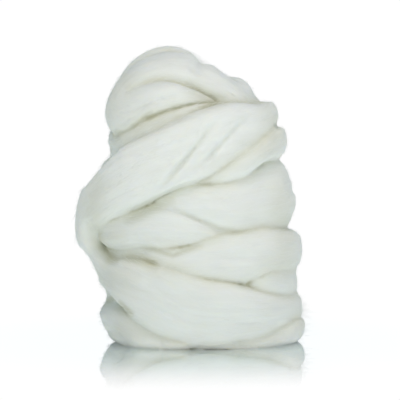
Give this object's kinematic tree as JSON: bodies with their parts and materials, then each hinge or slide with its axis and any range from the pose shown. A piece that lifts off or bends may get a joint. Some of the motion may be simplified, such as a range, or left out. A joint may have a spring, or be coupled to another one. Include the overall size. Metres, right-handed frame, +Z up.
{
  "type": "ball of wool roving",
  "caption": "Ball of thick undyed wool roving, wound from one soft combed strand in slanting, folded turns, standing on end.",
  "frame": {"origin": "middle of the ball's outline seen from above, on the surface it stands on", "axes": "+Z up along the ball's long side, -Y towards the side in the picture, +X to the right of that side"},
  "size_m": [0.1375, 0.1167, 0.1789],
  "materials": {
    "wool": "matt, soft, hairy combed wool, undyed ivory white"
  },
  "bodies": {
    "root": {"wound_roving": "wool"}
  },
  "joints": []
}
